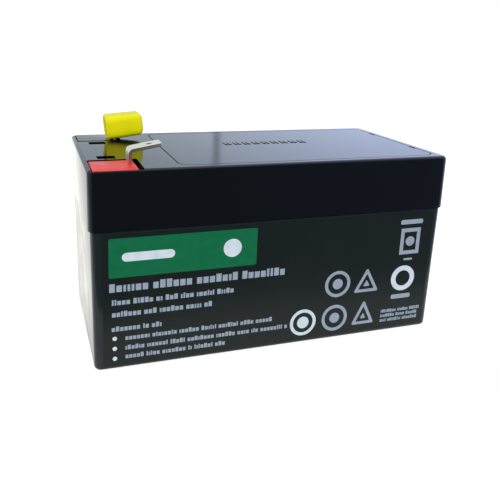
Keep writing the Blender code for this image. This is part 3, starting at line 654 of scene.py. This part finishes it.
def grid_faces(numbers):
    """Four-sided faces between neighbouring rows and columns of point numbers."""
    corners = [numbers[:-1, :-1], numbers[:-1, 1:], numbers[1:, 1:], numbers[1:, :-1]]
    return np.stack([corner.ravel() for corner in corners], 1)


def loop_faces(numbers):
    """Four-sided faces between neighbouring rows of point numbers, where each row is a closed loop."""
    return grid_faces(np.concatenate([numbers, numbers[:, :1]], 1)).tolist()


# Flat outlines, as arrays of (u, v) points that run anticlockwise


def rounded_loops(half, radius):
    """Rectangles whose corners are quarter circles, one loop for each pair of half sizes. A point is
    side * (half size - radius) + radius * (cos t, sin t), with side 1 or -1 by its quarter."""
    half = np.asarray(half)[..., None, :]
    radius = np.asarray(radius)[..., None, None]
    turn = np.arange(4)[:, None] * math.pi / 2 + np.linspace(0, math.pi / 2, CORNER_POINTS)
    way = np.stack([np.cos(turn), np.sin(turn)], -1).reshape(-1, 2)
    side = np.repeat([(1, 1), (-1, 1), (-1, -1), (1, -1)], CORNER_POINTS, axis=0)
    return side * (half - radius) + radius * way


def rounded_bar(left, right, low, high, radius):
    """A rounded rectangle. A radius that is too large for it makes its short ends half circles."""
    middle = np.array([left + right, low + high]) / 2
    half = np.array([right - left, high - low]) / 2
    return middle + rounded_loops(half, min(radius, *half))


def disc(u, v, radius):
    """Points at equal angles round a circle: centre plus radius times (cos, sin)."""
    angle = np.linspace(0, 2 * math.pi, ROUND_POINTS, endpoint=False)
    return np.stack([u + radius * np.cos(angle), v + radius * np.sin(angle)], 1)


def triangle(middle, low, high, half, radius):
    """A triangle on its base. Each corner is a third of a circle, whose centre lies two radii in from
    the corner towards the triangle's centre."""
    corners = np.array([(middle - half, low), (middle + half, low), (middle, high)])
    outward = corners - corners.mean(0)
    outward /= np.linalg.norm(outward, axis=1, keepdims=True)
    facing = np.arctan2(outward[:, 1], outward[:, 0])[:, None]
    angle = facing + np.linspace(-math.pi / 3, math.pi / 3, CORNER_POINTS + 2)
    arcs = radius * np.stack([np.cos(angle), np.sin(angle)], -1)
    return ((corners - 2 * radius * outward)[:, None] + arcs).reshape(-1, 2)


def inset_triangle(middle, low, high, half, inset, radius):
    """The same triangle with every side moved in by a distance. With r its half width over its height
    and s = sqrt(1 + r^2), the top sinks by s / r of that distance and the half width shrinks by
    r + s of it."""
    slope = half / (high - low)
    slant = math.hypot(1, slope)
    top = high - inset * slant / slope
    return triangle(middle, low + inset, top, half - inset * (slope + slant), radius)


def plain_box(left, right, low, high):
    """The four corners of an upright rectangle."""
    return np.array([(left, low), (right, low), (right, high), (left, high)])


class Slabs:
    """Thin closed slabs on a flat place, gathered for one piece. A point (u, v) of an outline becomes
    origin + u * across + v * up, once a little below the surface and once at the rise above it."""

    def __init__(self, origin, across, up, rise):
        self.origin = np.asarray(origin, float)
        self.across = np.asarray(across, float)
        self.up = np.asarray(up, float)
        normal = np.cross(self.across, self.up)
        self.normal = normal / np.linalg.norm(normal)
        self.rise = rise
        self.points = []
        self.faces = []
        self.count = 0

    def rows(self, outlines, heights):
        """Adds each outline at its height above the surface, and gives the points' numbers."""
        flat = np.stack(outlines)
        lift = np.reshape(heights, (-1, 1, 1)) * self.normal
        placed = self.origin + flat[..., :1] * self.across + flat[..., 1:] * self.up + lift
        numbers = self.count + np.arange(flat.size // 2).reshape(flat.shape[:2])
        self.points.append(placed.reshape(-1, 3))
        self.count += numbers.size
        return numbers

    def solid(self, outline):
        """A slab of one outline: a floor, a top and a wall."""
        numbers = self.rows([outline, outline], [-INK_SUNK, self.rise])
        self.faces += [numbers[0, ::-1].tolist(), numbers[1].tolist()]
        self.faces += loop_faces(numbers)

    def band(self, outer, inner):
        """A slab between two outlines with as many points each: outside, top, inside and floor."""
        numbers = self.rows(
            [outer, outer, inner, inner], [-INK_SUNK, self.rise, self.rise, -INK_SUNK]
        )
        self.faces += loop_faces(np.concatenate([numbers, numbers[:1]]))

    def ring(self, u, v, radius, inner_radius):
        """A band between two circles."""
        self.band(disc(u, v, radius), disc(u, v, inner_radius))

    def frame(self, left, right, low, high, line):
        """A rectangle drawn with a line of the given width."""
        self.band(
            plain_box(left, right, low, high),
            plain_box(left + line, right - line, low + line, high - line),
        )

    def piece(self, name, material, slot):
        """All the slabs so far as one mesh piece."""
        surface_piece(name, np.concatenate(self.points), self.faces, material)


# Print and marks


def label_plane():
    """The film's lower left corner on its face, and its directions across and up with a millimetre's
    length, read from the label node: the face leans as the case does."""
    points = vertex_array("label")
    foot = points[points[:, 2] < points[:, 2].min() + LABEL_EDGE]
    head = points[points[:, 2] > points[:, 2].max() - LABEL_EDGE]
    foot = foot[foot[:, 1].argmin()]
    head = head[head[:, 1].argmin()]
    up = np.array([0, head[1] - foot[1], head[2] - foot[2]])
    origin = np.array([points[:, 0].min(), foot[1], foot[2]])
    return origin, np.array([MM, 0, 0]), up / np.linalg.norm(up) * MM


def print_row(slabs, start, end, level, height, seed):
    """A row of small print as groups of two to eight solid blocks, wide or narrow and tall or low,
    from a seeded generator."""
    draw = np.random.default_rng(seed)
    u = start
    while u + WIDE_BLOCK * height < end:
        for _ in range(draw.integers(*GROUP_SIZES, endpoint=True)):
            wide = height * (WIDE_BLOCK if draw.random() < WIDE_SHARE else NARROW_BLOCK)
            tall = height * (1.0 if draw.random() < TALL_SHARE else LOW_BLOCK)
            if u + wide > end:
                break
            slabs.solid(plain_box(u, u + wide, level, level + tall))
            u += wide + BLOCK_GAP * height
        u += GROUP_GAP * height


def pale_print(place, material):
    """A bar and a disc on the green panel, two rings and the bullets."""
    pale = Slabs(*place, OVERPRINT_RISE)
    pale.solid(rounded_bar(*PANEL_BAR, PANEL_BAR[3] - PANEL_BAR[2]))
    pale.solid(disc(*PANEL_DISC))
    pale.ring(*WHITE_RING)
    pale.ring(*LOW_PALE_RING)
    pale.solid(disc(*LOW_PALE_RING[:2], PALE_RING_DOT))
    for bullet in BULLETS:
        pale.solid(disc(*bullet))
    pale.piece("pale_print", material, "label_film")


def grey_print(place, material):
    """Rows of blocks, rings with a dot, nested triangles, a frame and plain bars."""
    grey = Slabs(*place, INK_RISE)
    for seed, row in enumerate(GREY_ROWS):
        print_row(grey, *row, seed)
    for ring in GREY_RINGS:
        grey.ring(*ring)
        grey.solid(disc(*ring[:2], RING_DOT))
    for shape in TRIANGLES:
        grey.band(
            triangle(*shape, ROUND_CORNER),
            inset_triangle(*shape, TRIANGLE_LINE, ROUND_CORNER / 2),
        )
        grey.solid(inset_triangle(*shape, 2 * TRIANGLE_LINE, ROUND_CORNER / 2))
    grey.frame(*TALL_FRAME, FRAME_LINE)
    grey.solid(disc(*FRAME_DOT))
    for bar in PLAIN_BARS:
        grey.solid(rounded_bar(*bar, ROUND_CORNER))
    grey.piece("grey_print", material, "label_film")


def print_label(materials):
    """The label's printing as colour fields and plain shapes."""
    place = label_plane()
    green = Slabs(*place, INK_RISE)
    green.solid(rounded_bar(*GREEN_PANEL, PANEL_CORNER))
    green.piece("green_panel", materials["green_ink"], "label_film")
    pale_print(place, materials["pale_ink"])
    grey_print(place, materials["grey_ink"])


def raised_marks(materials):
    """Moulded marks on the vent cover: a row of plain raised bars in pairs."""
    low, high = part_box("vent_cover")
    origin = (low.x + MARKS_INSET, MARKS_Y, high.z)
    marks = Slabs(origin, (MM, 0, 0), (0, MM, 0), MARK_RISE)
    for pair in range(MARK_PAIRS):
        for u in (pair * PAIR_PITCH, pair * PAIR_PITCH + BAR_PITCH):
            marks.solid(rounded_bar(u, u + BAR_WIDTH, 0, BAR_LENGTH, BAR_WIDTH))
    marks.piece("cover_marks", materials["lid"], "cover")


# Resin and cap


def resin_fillet(materials, polarity):
    """The resin's rim where it wets the blade's neck: a concave quarter-round profile, offset
    R (1 - sin t) and height R (1 - cos t), carried round the neck's rectangle and closed below."""
    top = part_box(f"{polarity}_resin")[1].z
    low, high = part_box(f"{polarity}_blade")
    blade = vertex_array(f"{polarity}_blade")
    leg = blade[np.abs(blade[:, 2] - top) < LEG_REACH]
    half = np.array([NECK_THICKNESS, NECK_WIDTH]) / 2
    centre = np.array([leg[:, 0].max() - half[0], (low.y + high.y) / 2])
    turn = np.linspace(0, math.pi / 2, FILLET_STEPS)
    offset = np.append(FILLET_RADIUS * (1 - np.sin(turn)), [-FILLET_SUNK, -FILLET_SUNK])
    height = np.append(FILLET_RADIUS * (1 - np.cos(turn)), [FILLET_RADIUS, 0]) - FILLET_SUNK
    loops = centre + rounded_loops(half + offset[:, None], np.maximum(offset, 0) + FILLET_SUNK)
    level = np.repeat(top + height, loops.shape[1])
    points = np.column_stack([loops.reshape(-1, 2), level])
    numbers = np.arange(len(points)).reshape(len(offset), -1)
    faces = loop_faces(np.concatenate([numbers, numbers[:1]]))
    colour = "red_resin" if polarity == "positive" else "black_resin"
    surface_piece(
        f"{polarity}_resin_fillet", points, faces, materials[colour], smooth=True
    )


def superellipse(half_width, half_height, power, gap, knee):
    """Loops of a superellipse, one for each row of sizes. With a the half width and b the half
    height, its radius at polar angle t is (|cos t / a|^n + |sin t / b|^n)^(-1/n). Each loop starts
    and ends beside a gap in its underside, whose half width is given. Only the points below the
    knee angle, counted from the underside's middle, make room for the gap."""
    floor_height = half_height * (1 - (gap / half_width) ** power) ** (1 / power)
    start = np.arctan2(gap, floor_height)[:, None]
    share = np.linspace(0, 1, SECTION_POINTS)
    even = 2 * math.pi * np.minimum(share, 1 - share)
    turn = np.where(even < knee, start + (knee - start) * even / knee, even)
    angle = -math.pi / 2 + np.where(share > 0.5, 2 * math.pi - turn, turn)
    cos, sin = np.cos(angle), np.sin(angle)
    sum_of_powers = (
        np.abs(cos / half_width[:, None]) ** power + np.abs(sin / half_height[:, None]) ** power
    )
    radius = sum_of_powers ** (-1 / power)
    return radius * cos, radius * sin


def slit_places(slit_end):
    """Places along the cap where its slit is, close together at the lip, and the lip's round there:
    R - sqrt(R^2 - (R - x)^2), which is 0 past the lip."""
    lip = CAP_LIP * (1 - np.cos(np.linspace(0, math.pi / 2, LIP_STATIONS)))
    place = np.append(lip, np.linspace(CAP_LIP, slit_end, SLIT_STATIONS)[1:])
    depth = CAP_LIP - np.minimum(place, CAP_LIP)
    return place, CAP_LIP - np.sqrt(np.maximum(CAP_LIP ** 2 - depth ** 2, 0))


def sleeve_profile(slit_stations, length, round_radius, bulge):
    """Stations along the cap as (place, inset, shrink). The first ones are given. The side runs
    straight to a quarter round, x = R sin t and inset R (1 - cos t), and the end closes in a dome,
    x = bulge (1 - (1 - q)^2) while the section shrinks by 1 - q to its pole."""
    side = np.linspace(slit_stations[-1], length - bulge - round_radius, SIDE_STATIONS)[1:]
    turn = np.linspace(0, math.pi / 2, END_STATIONS)[1:]
    dome = np.linspace(0, 1, END_STATIONS)[1:]
    place = np.concatenate([
        slit_stations, side,
        length - bulge - round_radius * (1 - np.sin(turn)),
        length - bulge * (1 - dome) ** 2,
    ])
    inset = np.concatenate([
        0 * slit_stations, 0 * side,
        round_radius * (1 - np.cos(turn)),
        np.full(len(dome), round_radius),
    ])
    shrink = np.concatenate([
        np.ones(len(slit_stations) + len(side) + len(turn)),
        np.maximum(1 - dome, POLE_SHARE),
    ])
    return place, inset, shrink


def cap_skin(size, wall, end_wall, end_round, bulge, power, knee, lip_side):
    """One skin of the cap as rows of points (along, across, up) from the middle of its open end. Its
    section is a superellipse that swells by a sine along the cap, tapers in height to the closed end,
    and leaves the slit's half width w (1 - x^p)^(1/p) open, with x the share of the slit's length.
    The lip's round moves it inward where lip_side is 1, and outward where it is -1."""
    length, half_width, half_height = size
    slit_end = SLIT_SHARE * length
    slit_stations, lip_round = slit_places(slit_end)
    place, inset, shrink = sleeve_profile(slit_stations, length - end_wall, end_round, bulge)
    inset[:len(lip_round)] += lip_side * lip_round
    taper = 1 - CAP_TAPER * place / length
    swell = 1 + CAP_SWELL * np.sin(math.pi * np.minimum(place / length, 1))
    a = (half_width * swell - wall - inset) * shrink
    b = (half_height * swell * taper - wall - inset) * shrink
    share = np.minimum(place / slit_end, 1)
    gap = SLIT_HALF_WIDTH * (1 - share ** SLIT_POWER) ** (1 / SLIT_POWER)
    y, z = superellipse(a, b, power, gap, knee)
    return np.stack([np.broadcast_to(place[:, None], y.shape), y, z], -1)


def soft_cap(materials):
    """The yellow cap as a dipped sleeve, with a round lip at its open left end, a slit in its underside
    for the blade's leg and a domed right end. It is made along its own tilted axis, takes its sizes
    from the cap in the frame and stands in for it."""
    axis = np.array([math.cos(CAP_TILT), 0, math.sin(CAP_TILT)])
    side = np.array([0, 1, 0])
    up = np.array([-math.sin(CAP_TILT), 0, math.cos(CAP_TILT)])
    along, across, rise = (vertex_array("insulating_cap") @ np.stack([axis, side, up], 1)).T
    size = (
        along.max() - along.min(),
        (across.max() - across.min()) / 2,
        (rise.max() - rise.min() + CAP_SAG) / 2,
    )
    mouth = (
        along.min() * axis
        + (across.max() + across.min()) / 2 * side
        + (rise.max() + rise.min() - CAP_SAG) / 2 * up
    )
    outside = cap_skin(
        size, wall=0, end_wall=0, end_round=CAP_ROUND, bulge=CAP_BULGE, power=CAP_POWER,
        knee=CAP_KNEE, lip_side=1,
    )
    bore = cap_skin(
        size, wall=CAP_WALL, end_wall=CAP_END_WALL, end_round=BORE_ROUND, bulge=BORE_BULGE,
        power=BORE_POWER, knee=BORE_KNEE, lip_side=-1,
    )
    points = mouth + np.stack([outside, bore]) @ np.stack([axis, side, up])
    outer, inner = np.arange(points.size // 3).reshape(points.shape[:3])
    slit_rows = LIP_STATIONS + SLIT_STATIONS - 1
    faces = np.concatenate([
        grid_faces(outer),
        grid_faces(inner),
        grid_faces(np.stack([outer[0], inner[0]])),
        grid_faces(np.stack([outer[:slit_rows, 0], inner[:slit_rows, 0]])),
        grid_faces(np.stack([outer[:slit_rows, -1], inner[:slit_rows, -1]])),
    ])
    piece = surface_piece(
        "cap_sleeve", points.reshape(-1, 3), faces.tolist(), materials["cap"],
        smooth=True,
    )
    close_up(piece.data)
    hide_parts("insulating_cap")


def dress(frame, materials):
    """Every node gets its finish, and the case, lid, vent cover, resins and blades get their soft
    edges.
    """
    for name, width, finish, slot in (
        ("container", MOULD_EDGE, "case", "case"),
        ("lid", MOULD_EDGE, "lid", "lid"),
        ("vent_cover", JOINT_EDGE, "lid", "cover"),
        ("positive_resin", RESIN_EDGE, "red_resin", "red_resin"),
        ("negative_resin", RESIN_EDGE, "black_resin", "black_resin"),
        ("positive_blade", PRESSED_EDGE, "blade", "blade"),
        ("negative_blade", PRESSED_EDGE, "blade", "blade"),
    ):
        finished(frame, name, width, materials[finish])
    kinds = (
        ("positive_plates", "positive_paste"),
        ("negative_plates", "negative_paste"),
        ("mat", "mat"),
        ("bridge", "lead"),
        ("valve_cap", "rubber"),
        ("post_seal", "rubber"),
        ("label", "film"),
    )
    for name, made in frame["nodes"].items():
        for word, finish in kinds:
            if word in name:
                made.data.materials.clear()
                made.data.materials.append(materials[finish])


# Studio


def plain_light(tree, strength):
    """A white background of an even strength."""
    made = node(tree, "ShaderNodeBackground", Color=WHITE, Strength=strength)
    return made.outputs["Background"]


def room_light(tree):
    """The room that gloss sees. It darkens towards the front, by the Y part of the ray's direction,
    and turns brighter and bluer from its left panel to its right one, by the X part. The panels meet
    in a narrow dark gap, at one value of X / Y."""
    way = node(tree, "ShaderNodeTexCoord")
    parts = node(tree, "ShaderNodeSeparateXYZ")
    link(tree, way.outputs["Generated"], parts.inputs["Vector"])
    x, y = parts.outputs["X"], parts.outputs["Y"]
    level = ranged(tree, y, ROOM_DEPTH, ROOM_LEVELS, "SMOOTHSTEP")
    slope = math_node(tree, "DIVIDE", x, y)
    away = math_node(tree, "SUBTRACT", slope, PANEL_GAP_SLOPE)
    near = math_node(tree, "ABSOLUTE", away)
    gap = ranged(tree, near, (0, PANEL_GAP_WIDTH), (PANEL_GAP_LEVEL, 1), "SMOOTHSTEP")
    tint = mixed_colour(tree, ranged(tree, x, PANEL_BLEND), LEFT_PANEL, RIGHT_PANEL)
    made = node(tree, "ShaderNodeBackground")
    link(tree, tint, made.inputs["Color"])
    link(tree, math_node(tree, "MULTIPLY", level, gap), made.inputs["Strength"])
    return made.outputs["Background"]


def mixed_light(tree, factor, one, other):
    """One of two backgrounds, by the kind of ray."""
    made = node(tree, "ShaderNodeMixShader")
    link(tree, factor, made.inputs["Fac"])
    for socket, light in zip(MIX_LIGHTS, (one, other)):
        link(tree, light, made.inputs[socket])
    return made.outputs["Shader"]


def backdrop():
    """White for the camera, the room with its panels for gloss, and an even soft light for the rest."""
    world = bpy.data.worlds.new("Studio")
    bpy.context.scene.world = world
    world.use_nodes = True
    tree = world.node_tree
    tree.nodes.clear()
    rays = node(tree, "ShaderNodeLightPath")
    unseen = mixed_light(
        tree, mirrored_rays(tree, rays), plain_light(tree, ROOM_SOFT_LIGHT), room_light(tree)
    )
    seen = mixed_light(tree, rays.outputs["Is Camera Ray"], unseen, plain_light(tree, 1.0))
    out = node(tree, "ShaderNodeOutputWorld")
    link(tree, seen, out.inputs["Surface"])


def floor_material():
    """A matt white. The camera sees it glow a little, so that it stays white round the battery's soft
    shadow. Gloss sees it a little warm, and bright only behind the battery's front."""
    made, tree, shader = blank("White floor", FLOOR_ROUGHNESS, specular=0.0)
    shader.inputs["Base Color"].default_value = FLOOR_GREY
    rays = node(tree, "ShaderNodeLightPath")
    place = node(tree, "ShaderNodeTexCoord")
    parts = node(tree, "ShaderNodeSeparateXYZ")
    link(tree, place.outputs["Object"], parts.inputs["Vector"])
    mirrored = mirrored_rays(tree, rays)
    behind = ranged(tree, parts.outputs["Y"], SHEEN_FADE)
    sheen = math_node(tree, "MULTIPLY", mirrored, behind)
    seen = math_node(tree, "MULTIPLY", rays.outputs["Is Camera Ray"], FLOOR_GLOW)
    glow = math_node(tree, "MULTIPLY_ADD", sheen, FLOOR_SHEEN, seen)
    tint = mixed_colour(tree, mirrored, WHITE, FLOOR_TINT)
    link(tree, tint, shader.inputs["Emission Color"])
    link(tree, glow, shader.inputs["Emission Strength"])
    return made


def floor():
    """A round floor under and behind the battery: centre plus radius times (cos, sin)."""
    angle = np.linspace(0, 2 * math.pi, FLOOR_POINTS, endpoint=False)
    middle = FLOOR_FRONT + FLOOR_RADIUS
    points = np.stack(
        [FLOOR_RADIUS * np.cos(angle), middle + FLOOR_RADIUS * np.sin(angle), 0 * angle], 1
    )
    mesh = bpy.data.meshes.new("floor")
    mesh.from_pydata(points.tolist(), [], [list(range(FLOOR_POINTS))])
    mesh.materials.append(floor_material())
    plate = bpy.data.objects.new("floor", mesh)
    bpy.context.scene.collection.objects.link(plate)


def lamp(name, place, size, power, colour, seen_by_gloss):
    """A soft square lamp that faces the battery."""
    light = bpy.data.lights.new(name, "AREA")
    light.shape = "SQUARE"
    light.size = size
    light.energy = power
    light.color = colour
    holder = bpy.data.objects.new(name, light)
    holder.location = place
    aim = Vector(LAMP_TARGET) - Vector(place)
    holder.rotation_euler = aim.to_track_quat("-Z", "Y").to_euler()
    holder.visible_glossy = seen_by_gloss
    bpy.context.scene.collection.objects.link(holder)


def camera():
    """The camera that took the photograph: it stands back from its target along (sin a cos e,
    -cos a cos e, sin e), rolled about its own axis, with its centre shifted."""
    cos_a, sin_a = math.cos(CAMERA_AZIMUTH), math.sin(CAMERA_AZIMUTH)
    cos_e, sin_e = math.cos(CAMERA_ELEVATION), math.sin(CAMERA_ELEVATION)
    back = Vector((sin_a * cos_e, -cos_a * cos_e, sin_e))
    right = Vector((cos_a, sin_a, 0))
    up = back.cross(right)
    rolled_right = math.cos(CAMERA_ROLL) * right + math.sin(CAMERA_ROLL) * up
    rolled_up = math.cos(CAMERA_ROLL) * up - math.sin(CAMERA_ROLL) * right
    lens = bpy.data.cameras.new("Camera")
    lens.sensor_width = SENSOR_WIDTH
    lens.lens = FOCAL_PIXELS / IMAGE_SIZE * SENSOR_WIDTH
    lens.shift_x = (IMAGE_SIZE / 2 - CENTRE_PIXEL[0]) / IMAGE_SIZE
    lens.shift_y = (CENTRE_PIXEL[1] - IMAGE_SIZE / 2) / IMAGE_SIZE
    lens.clip_start = CLIP_START
    eye = bpy.data.objects.new("Camera", lens)
    turn = Matrix((rolled_right, rolled_up, back)).transposed().to_4x4()
    eye.matrix_world = Matrix.Translation(Vector(CAMERA_TARGET) + CAMERA_DISTANCE * back) @ turn
    bpy.context.scene.collection.objects.link(eye)
    bpy.context.scene.camera = eye


def studio():
    """The white room, its floor and lamps, and the camera."""
    backdrop()
    floor()
    for settings in LAMPS:
        lamp(*settings)
    camera()
    bpy.context.scene.view_settings.view_transform = "Standard"


def main():
    """Empties the scene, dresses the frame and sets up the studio."""
    for leftover in list(bpy.data.objects):
        bpy.data.objects.remove(leftover, do_unlink=True)
    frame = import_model()
    materials = all_materials()
    dress(frame, materials)
    print_label(materials)
    raised_marks(materials)
    for polarity in ("positive", "negative"):
        resin_fillet(materials, polarity)
    soft_cap(materials)
    studio()


main()
